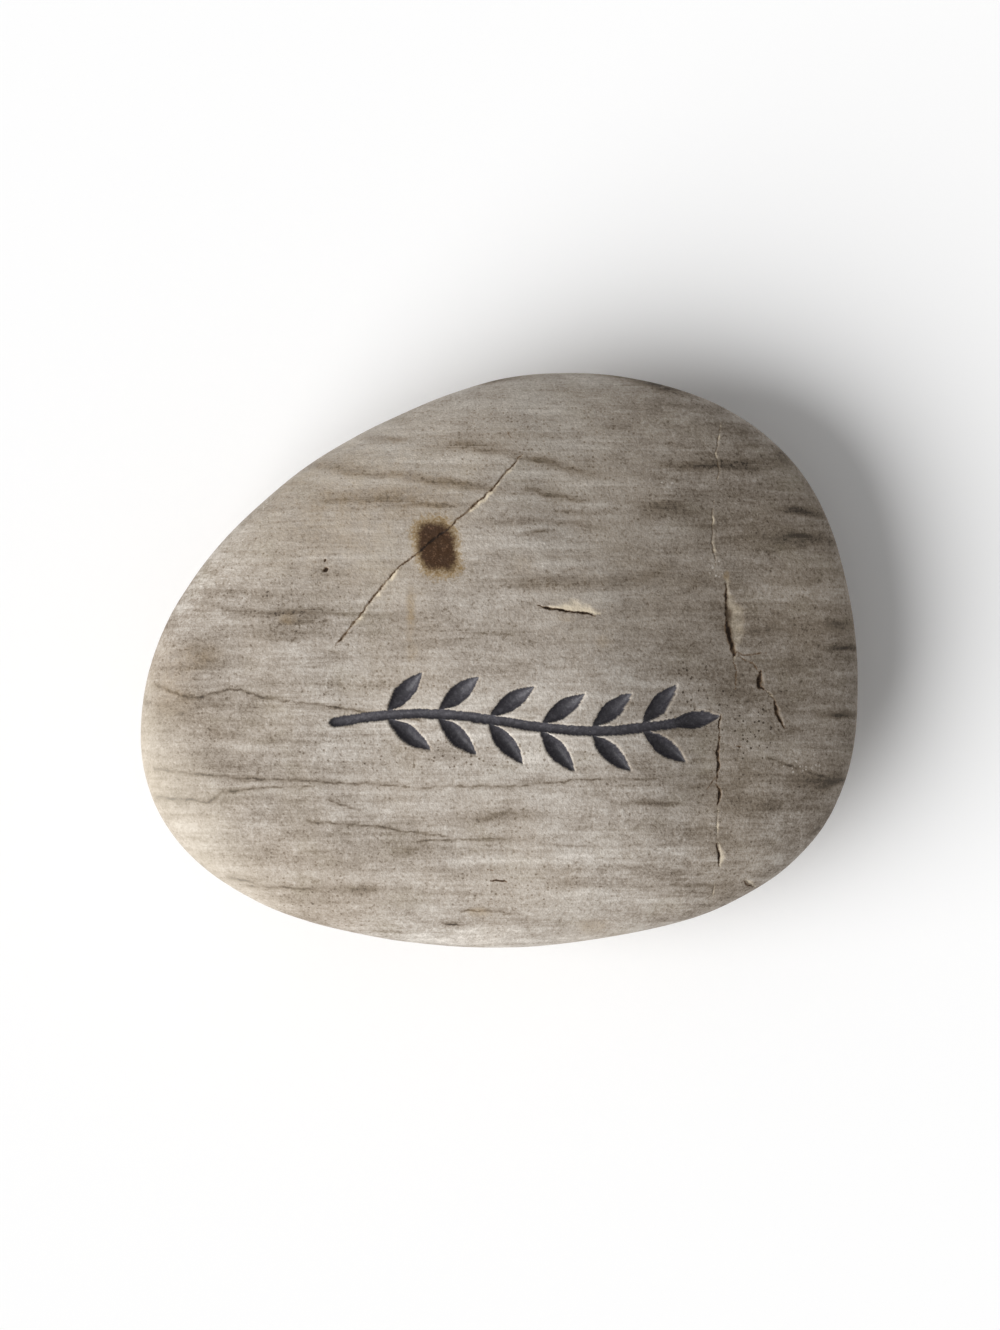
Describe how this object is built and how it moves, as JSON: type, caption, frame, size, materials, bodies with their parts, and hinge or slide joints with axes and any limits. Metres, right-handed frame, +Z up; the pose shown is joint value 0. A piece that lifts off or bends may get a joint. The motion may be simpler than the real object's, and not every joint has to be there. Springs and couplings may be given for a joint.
{
  "type": "pebble",
  "caption": "Flat egg-shaped river pebble of banded grey-beige stone, with natural cracks, a rust spot and a shallow carved leaf sprig; rests on a worn flat underside.",
  "frame": {"origin": "middle of the pebble's box in plan, on the surface that it rests on", "axes": "+X along the longest way across, with the blunt end at +X; +Z up through the carved face"},
  "size_m": [0.075, 0.06, 0.0242],
  "materials": {
    "stone": "matte, water-worn, fine-grained stone with wavy darker bands"
  },
  "bodies": {
    "root": {"pebble": "stone"}
  },
  "joints": []
}
